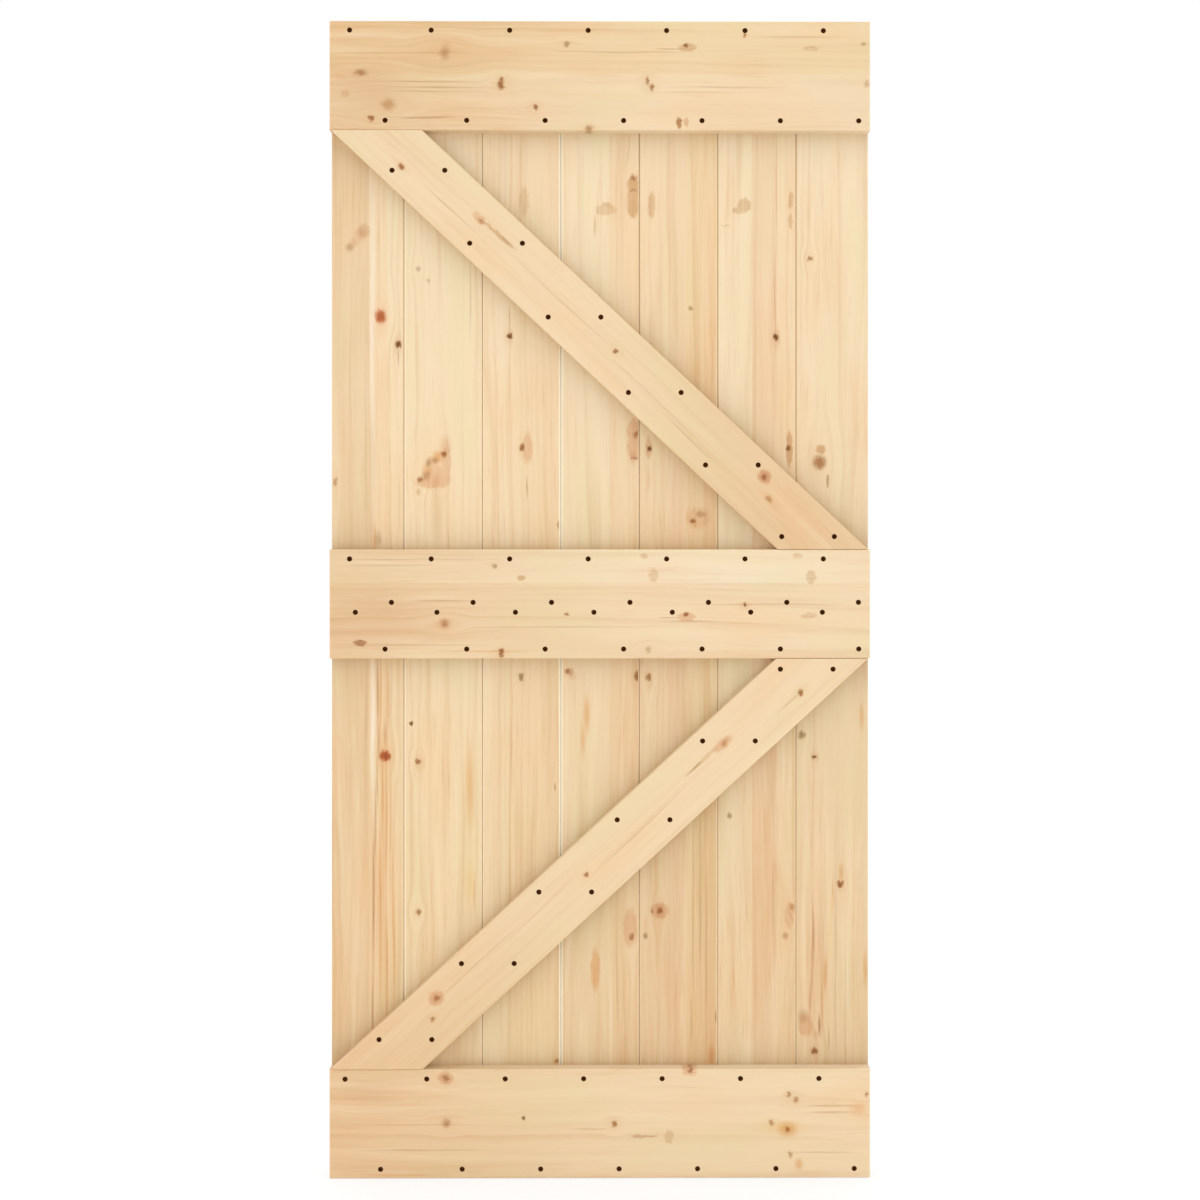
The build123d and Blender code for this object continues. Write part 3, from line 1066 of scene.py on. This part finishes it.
@dataclass
class PlankWall:
    """Seven upright tongue-and-groove planks, each glued up from staves. Sizes are in millimetres."""

    first_joint: float = 134.25
    cover: float = 146.3
    staves: tuple[tuple[Strip, ...], ...] = (
        (Strip(0, Pine.TAN, 130, 70), Strip(70, Pine.CREAM, 60, 50), Strip(104, Pine.PALE, -40, 60)),
        (Strip(134, Pine.PALE, 75, 52), Strip(236, Pine.PALE, -60, 60)),
        (Strip(280, Pine.PALE, 120, 60), Strip(329, Pine.CREAM, -50, 48), Strip(378, Pine.CREAM, 100, 70)),
        (Strip(427, Pine.PALE, 60, 46), Strip(517, Pine.CREAM, 120, 60), Strip(551, Pine.CREAM, -70, 60)),
        (
            Strip(573, Pine.CREAM, 100, 60),
            Strip(627, Pine.BLUSH, -60, 50),
            Strip(661, Pine.STRAW, 20, 40),
            Strip(693, Pine.HONEY, 90, 60),
        ),
        (Strip(719, Pine.PALE, 40, 44), Strip(784, Pine.BLUSH, -90, 60), Strip(830, Pine.CREAM, 110, 70)),
        (Strip(866, Pine.PALE, 80, 50), Strip(934, Pine.PALE, 30, 46)),
    )
    # Colour factors at each plank's foot: the planks grow darker towards the bottom.
    feet: tuple[Colour, ...] = (
        (0.93, 0.87, 0.79, 1.0),
        (0.93, 0.88, 0.80, 1.0),
        (0.925, 0.87, 0.80, 1.0),
        (0.875, 0.80, 0.715, 1.0),
        (0.86, 0.805, 0.735, 1.0),
        (0.885, 0.85, 0.785, 1.0),
        (0.845, 0.765, 0.68, 1.0),
    )
    # Painted highlights on the planks' bevels at each left and right joint; the dim edges carry a slight
    # painted shade.
    bevels: tuple[tuple[Bevel, Bevel], ...] = (
        (Bevel.DIM_EDGE, Bevel.DIM_EDGE),
        (Bevel.BRIGHT_HIGHLIGHT, Bevel.SOFT_HIGHLIGHT),
        (Bevel.SOFT_HIGHLIGHT, Bevel.WHITE),
        (Bevel.WHITE, Bevel.DIM_EDGE),
        (Bevel.DIM_EDGE, Bevel.SOFT_HIGHLIGHT),
        (Bevel.DIM_EDGE, Bevel.DIM_EDGE),
        (Bevel.DIM_EDGE, Bevel.DIM_EDGE),
    )
    contrast: Span = (0.6, 0.92)
    seed_step: float = 37.0

    def dress(self) -> None:
        """Give each plank its own pine."""
        for index, strips in enumerate(self.staves):
            node = f"plank_{index + 1}"
            left = self.first_joint + (index - 1) * self.cover
            joints = tuple(zip((left, left + self.cover), self.bevels[index]))
            dress(node, PlankFinish(
                f"{node}_pine", Run.UPRIGHT, strips, MARKS[node], foot=self.feet[index],
                contrast=self.contrast, seed=self.seed_step * index, joints=joints,
            ))


@dataclass
class RailSet:
    """Three level rails with their rows of screws. Sizes are in millimetres."""

    pitch: float = 145.0
    per_row: int = 7
    outer_rows: tuple[Span, ...] = ((-21.8, 83.3), (43.7, -83.3))
    inner_rows: tuple[Span, ...] = ((55.5, 3.0), (-11.2, -15.3))
    bottom_shift: float = -8.3
    first_shift: float = -5.7
    inner_last_shift: float = -12.4
    screw: CountersunkScrew = field(default_factory=CountersunkScrew)
    staves: tuple[tuple[Strip, ...], ...] = (
        (Strip(0, Pine.STRAW, 150, 60), Strip(98, Pine.CREAM, -60, 70), Strip(160, Pine.CREAM, 120, 60)),
        (Strip(977, Pine.PALE, 50, 44), Strip(1039, Pine.CREAM, 110, 60)),
        (Strip(1938, Pine.CREAM, 140, 60), Strip(2030, Pine.CREAM, 70, 60)),
    )
    left: Colour = (0.875, 0.785, 0.705, 1.0)
    right: Colour = (0.965, 0.972, 0.98, 1.0)
    fade: Span = (-100.0, 700.0)
    ring: float = 11.0
    contrast: Span = (0.9, 0.5)
    seeds: Triple = (300.0, 341.0, 382.0)

    def row(self, shift: float, level: float, last_shift: float = 0.0) -> np.ndarray:
        """Work out one row: equal steps around its middle, with its first and last screw moved.

        Args:
            shift: Of the row's middle from the leaf's middle.
            level: The row's height.
            last_shift: Of the last screw.

        Returns:
            The places, x and z.
        """
        x = (np.arange(self.per_row) - (self.per_row - 1) / 2) * self.pitch + shift
        x[0] += self.first_shift
        x[-1] += last_shift
        return np.stack((x, np.full(self.per_row, level)), -1)

    def build(self) -> None:
        """Drive the screws of each rail."""
        for name, level in RAIL_LEVELS.items():
            shift = self.bottom_shift if name == "bottom_rail" else 0.0
            rows = [self.row(middle + shift, level + rise) for middle, rise in self.outer_rows]
            if name == "middle_rail":
                last = self.inner_last_shift
                rows += [self.row(middle, level + rise, last) for middle, rise in self.inner_rows]
            self.screw.build(f"{name}_screws", np.concatenate(rows))

    def dress(self) -> None:
        """Give each rail its own pine, darker towards its left end."""
        for name, strips, seed in zip(RAIL_LEVELS, self.staves, self.seeds):
            dress(name, PineFinish(
                f"{name}_pine", Run.LEVEL, strips, MARKS[name], head=self.left, foot=self.right,
                length=self.fade, ring=self.ring, contrast=self.contrast, seed=seed,
            ))


@dataclass
class BracePair:
    """Two slanted braces with their pairs of screws. Sizes are in millimetres."""

    width: float = 115.0
    reach: float = 992.0
    end_gap: float = 0.3
    pair_spacing: float = 97.4
    upper_shares: tuple[float, ...] = (0.093, 0.267, 0.443, 0.623, 0.796, 0.967)
    upper_rise: float = -2.3
    lower_shares: tuple[float, ...] = (0.035, 0.210, 0.402, 0.578, 0.752, 0.937)
    lower_rise: float = 7.2
    screw: CountersunkScrew = field(default_factory=CountersunkScrew)
    head: Colour = (0.965, 0.962, 0.957, 1.0)
    foot: Colour = (0.88, 0.80, 0.72, 1.0)
    fade: Span = (500.0, 1300.0)
    ring: float = 14.0
    contrast: Span = (0.4, 0.5)
    stave_inset: float = 100.0
    pith: Span = (160.0, 60.0)
    seeds: Span = (500.0, 600.0)

    def places(self, side: int, bay: Span, shares: tuple[float, ...], rise: float) -> np.ndarray:
        """Work out the screws' places: level pairs, each at its share of the brace's middle line.

        Args:
            side: 1 where the brace starts at the left, -1 at the right.
            bay: Levels of the bay's head and foot.
            shares: Of the middle line from the upper end to each pair.
            rise: Height of the pairs above the middle line.

        Returns:
            The places, x and z.
        """
        top = bay[0] - self.end_gap
        drop = top - bay[1] - self.end_gap
        slope = math.atan2(drop, self.reach) + math.asin(self.width / math.hypot(drop, self.reach))
        along = np.array(shares) * drop / math.sin(slope)
        middle = side * (self.width / math.sin(slope) / 2 - self.reach / 2 + along * math.cos(slope))
        level = top - along * math.sin(slope) + rise
        x = middle[:, None] + np.array((-0.5, 0.5)) * self.pair_spacing
        return np.stack((x, np.broadcast_to(level[:, None], x.shape)), -1).reshape(-1, 2)

    def build(self) -> None:
        """Drive the screws of both braces."""
        upper = self.places(1, UPPER_BAY, self.upper_shares, self.upper_rise)
        lower = self.places(-1, LOWER_BAY, self.lower_shares, self.lower_rise)
        self.screw.build("upper_brace_screws", upper)
        self.screw.build("lower_brace_screws", lower)

    def dress(self) -> None:
        """Give each brace its own pine, darker towards its foot."""
        starts = (
            ("upper_brace", Run.FALLING, 0.0, UPPER_BAY[0]),
            ("lower_brace", Run.RISING, LEAF_WIDTH, LOWER_BAY[0]),
        )
        for (name, run, x, level), seed in zip(starts, self.seeds):
            across, along = run.place(x, LEAF_TOP - level)
            strips = (Strip(across - self.stave_inset, Pine.CREAM, *self.pith),)
            length = (along + self.fade[0], along + self.fade[1])
            dress(name, PineFinish(
                f"{name}_pine", run, strips, MARKS[name], head=self.head, foot=self.foot,
                length=length, ring=self.ring, contrast=self.contrast, seed=seed,
            ))


@dataclass
class Studio:
    """A white sweep with even soft light. Sizes are in metres."""

    floor_half: float = 30.0
    floor_cells: int = 8
    floor_gap: float = 0.0005
    paper: Colour = (0.95, 0.95, 0.95, 1.0)
    glow_share: float = 0.7
    side_light: float = 1.77
    front_light: float = 0.51

    def build(self) -> None:
        """Lay the floor and light the room."""
        self.lay_floor()
        self.light_room()
        log.info("studio: floor and light")

    def lay_floor(self) -> None:
        """Lay a white floor just under the leaf's foot, a flat square grid."""
        cells, row = self.floor_cells, self.floor_cells + 1
        side = np.linspace(-self.floor_half, self.floor_half, row)
        x, y = np.meshgrid(side, side)
        points = np.stack((x, y, np.full_like(x, LEAF_FOOT * MM - self.floor_gap)), -1).reshape(-1, 3)
        corner = (np.arange(cells)[:, None] * row + np.arange(cells)).reshape(-1)
        faces = np.stack((corner, corner + 1, corner + row + 1, corner + row), -1)
        made = bpy.data.materials.new("white_floor")
        graph = Graph(made)
        paper = graph.node("ShaderNodeBsdfDiffuse", {}, {"Color": self.paper})
        glow = graph.node("ShaderNodeEmission", {}, {"Color": WHITE, "Strength": 1.0})
        seen = graph.background_ray() * self.glow_share
        both = graph.node("ShaderNodeMixShader", {}, {0: seen, 1: paper.outputs[0], 2: glow.outputs[0]})
        graph.node("ShaderNodeOutputMaterial", {}, {"Surface": both.outputs[0]})
        floor = add_piece("floor", points, faces.tolist(), made)

    def light_room(self) -> None:
        """Light the leaf from a white room that is brighter all round its sides than in front and behind.

        The light falls evenly with the share of y in its direction. The room itself is seen as plain white.
        """
        world = bpy.data.worlds.new("white_room")
        graph = Graph(world)
        way = graph.node("ShaderNodeTexCoord", {}, {}).outputs["Generated"]
        ahead = abs(graph.part(way, 1))
        light = self.side_light - ahead * (self.side_light - self.front_light)
        strength = light + graph.background_ray() * (1.0 - light)
        room = graph.node("ShaderNodeBackground", {}, {"Color": WHITE, "Strength": strength})
        graph.node("ShaderNodeOutputWorld", {}, {"Surface": room.outputs[0]})
        bpy.context.scene.world = world


@dataclass
class PhotoCamera:
    """A camera square to the leaf's face. Its eye is in millimetres, the picture and its axis in pixels."""

    eye: Triple = (32.5, -2050.0, -875.0)
    per_mm: float = 0.5410
    picture: float = 1200.0
    sensor: float = 36.0
    axis: Span = (621.2, 548.8)
    turn: float = -0.0033

    def build(self) -> None:
        """Set up the camera, its lens, its shift and its slight turn to the right."""
        data = bpy.data.cameras.new("photo_camera")
        data.sensor_width = self.sensor
        data.lens = -self.eye[1] * self.per_mm * self.sensor / self.picture
        data.shift_x = 0.5 - self.axis[0] / self.picture
        data.shift_y = self.axis[1] / self.picture - 0.5
        camera = bpy.data.objects.new("photo_camera", data)
        camera.location = tuple(part * MM for part in self.eye)
        camera.rotation_euler = (math.pi / 2, 0.0, self.turn)
        bpy.context.scene.collection.objects.link(camera)
        bpy.context.scene.camera = camera
        log.info("camera: lens %.1f mm", data.lens)


def main() -> None:
    """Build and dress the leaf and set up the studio."""
    logging.basicConfig(level=logging.INFO, format="%(name)s: %(message)s")
    bpy.context.scene.view_settings.view_transform = "Standard"
    PhotoCamera().build()
    PlankWall().dress()
    rails = RailSet()
    rails.build()
    rails.dress()
    braces = BracePair()
    braces.build()
    braces.dress()
    Studio().build()


if __name__ == "__main__":
    main()
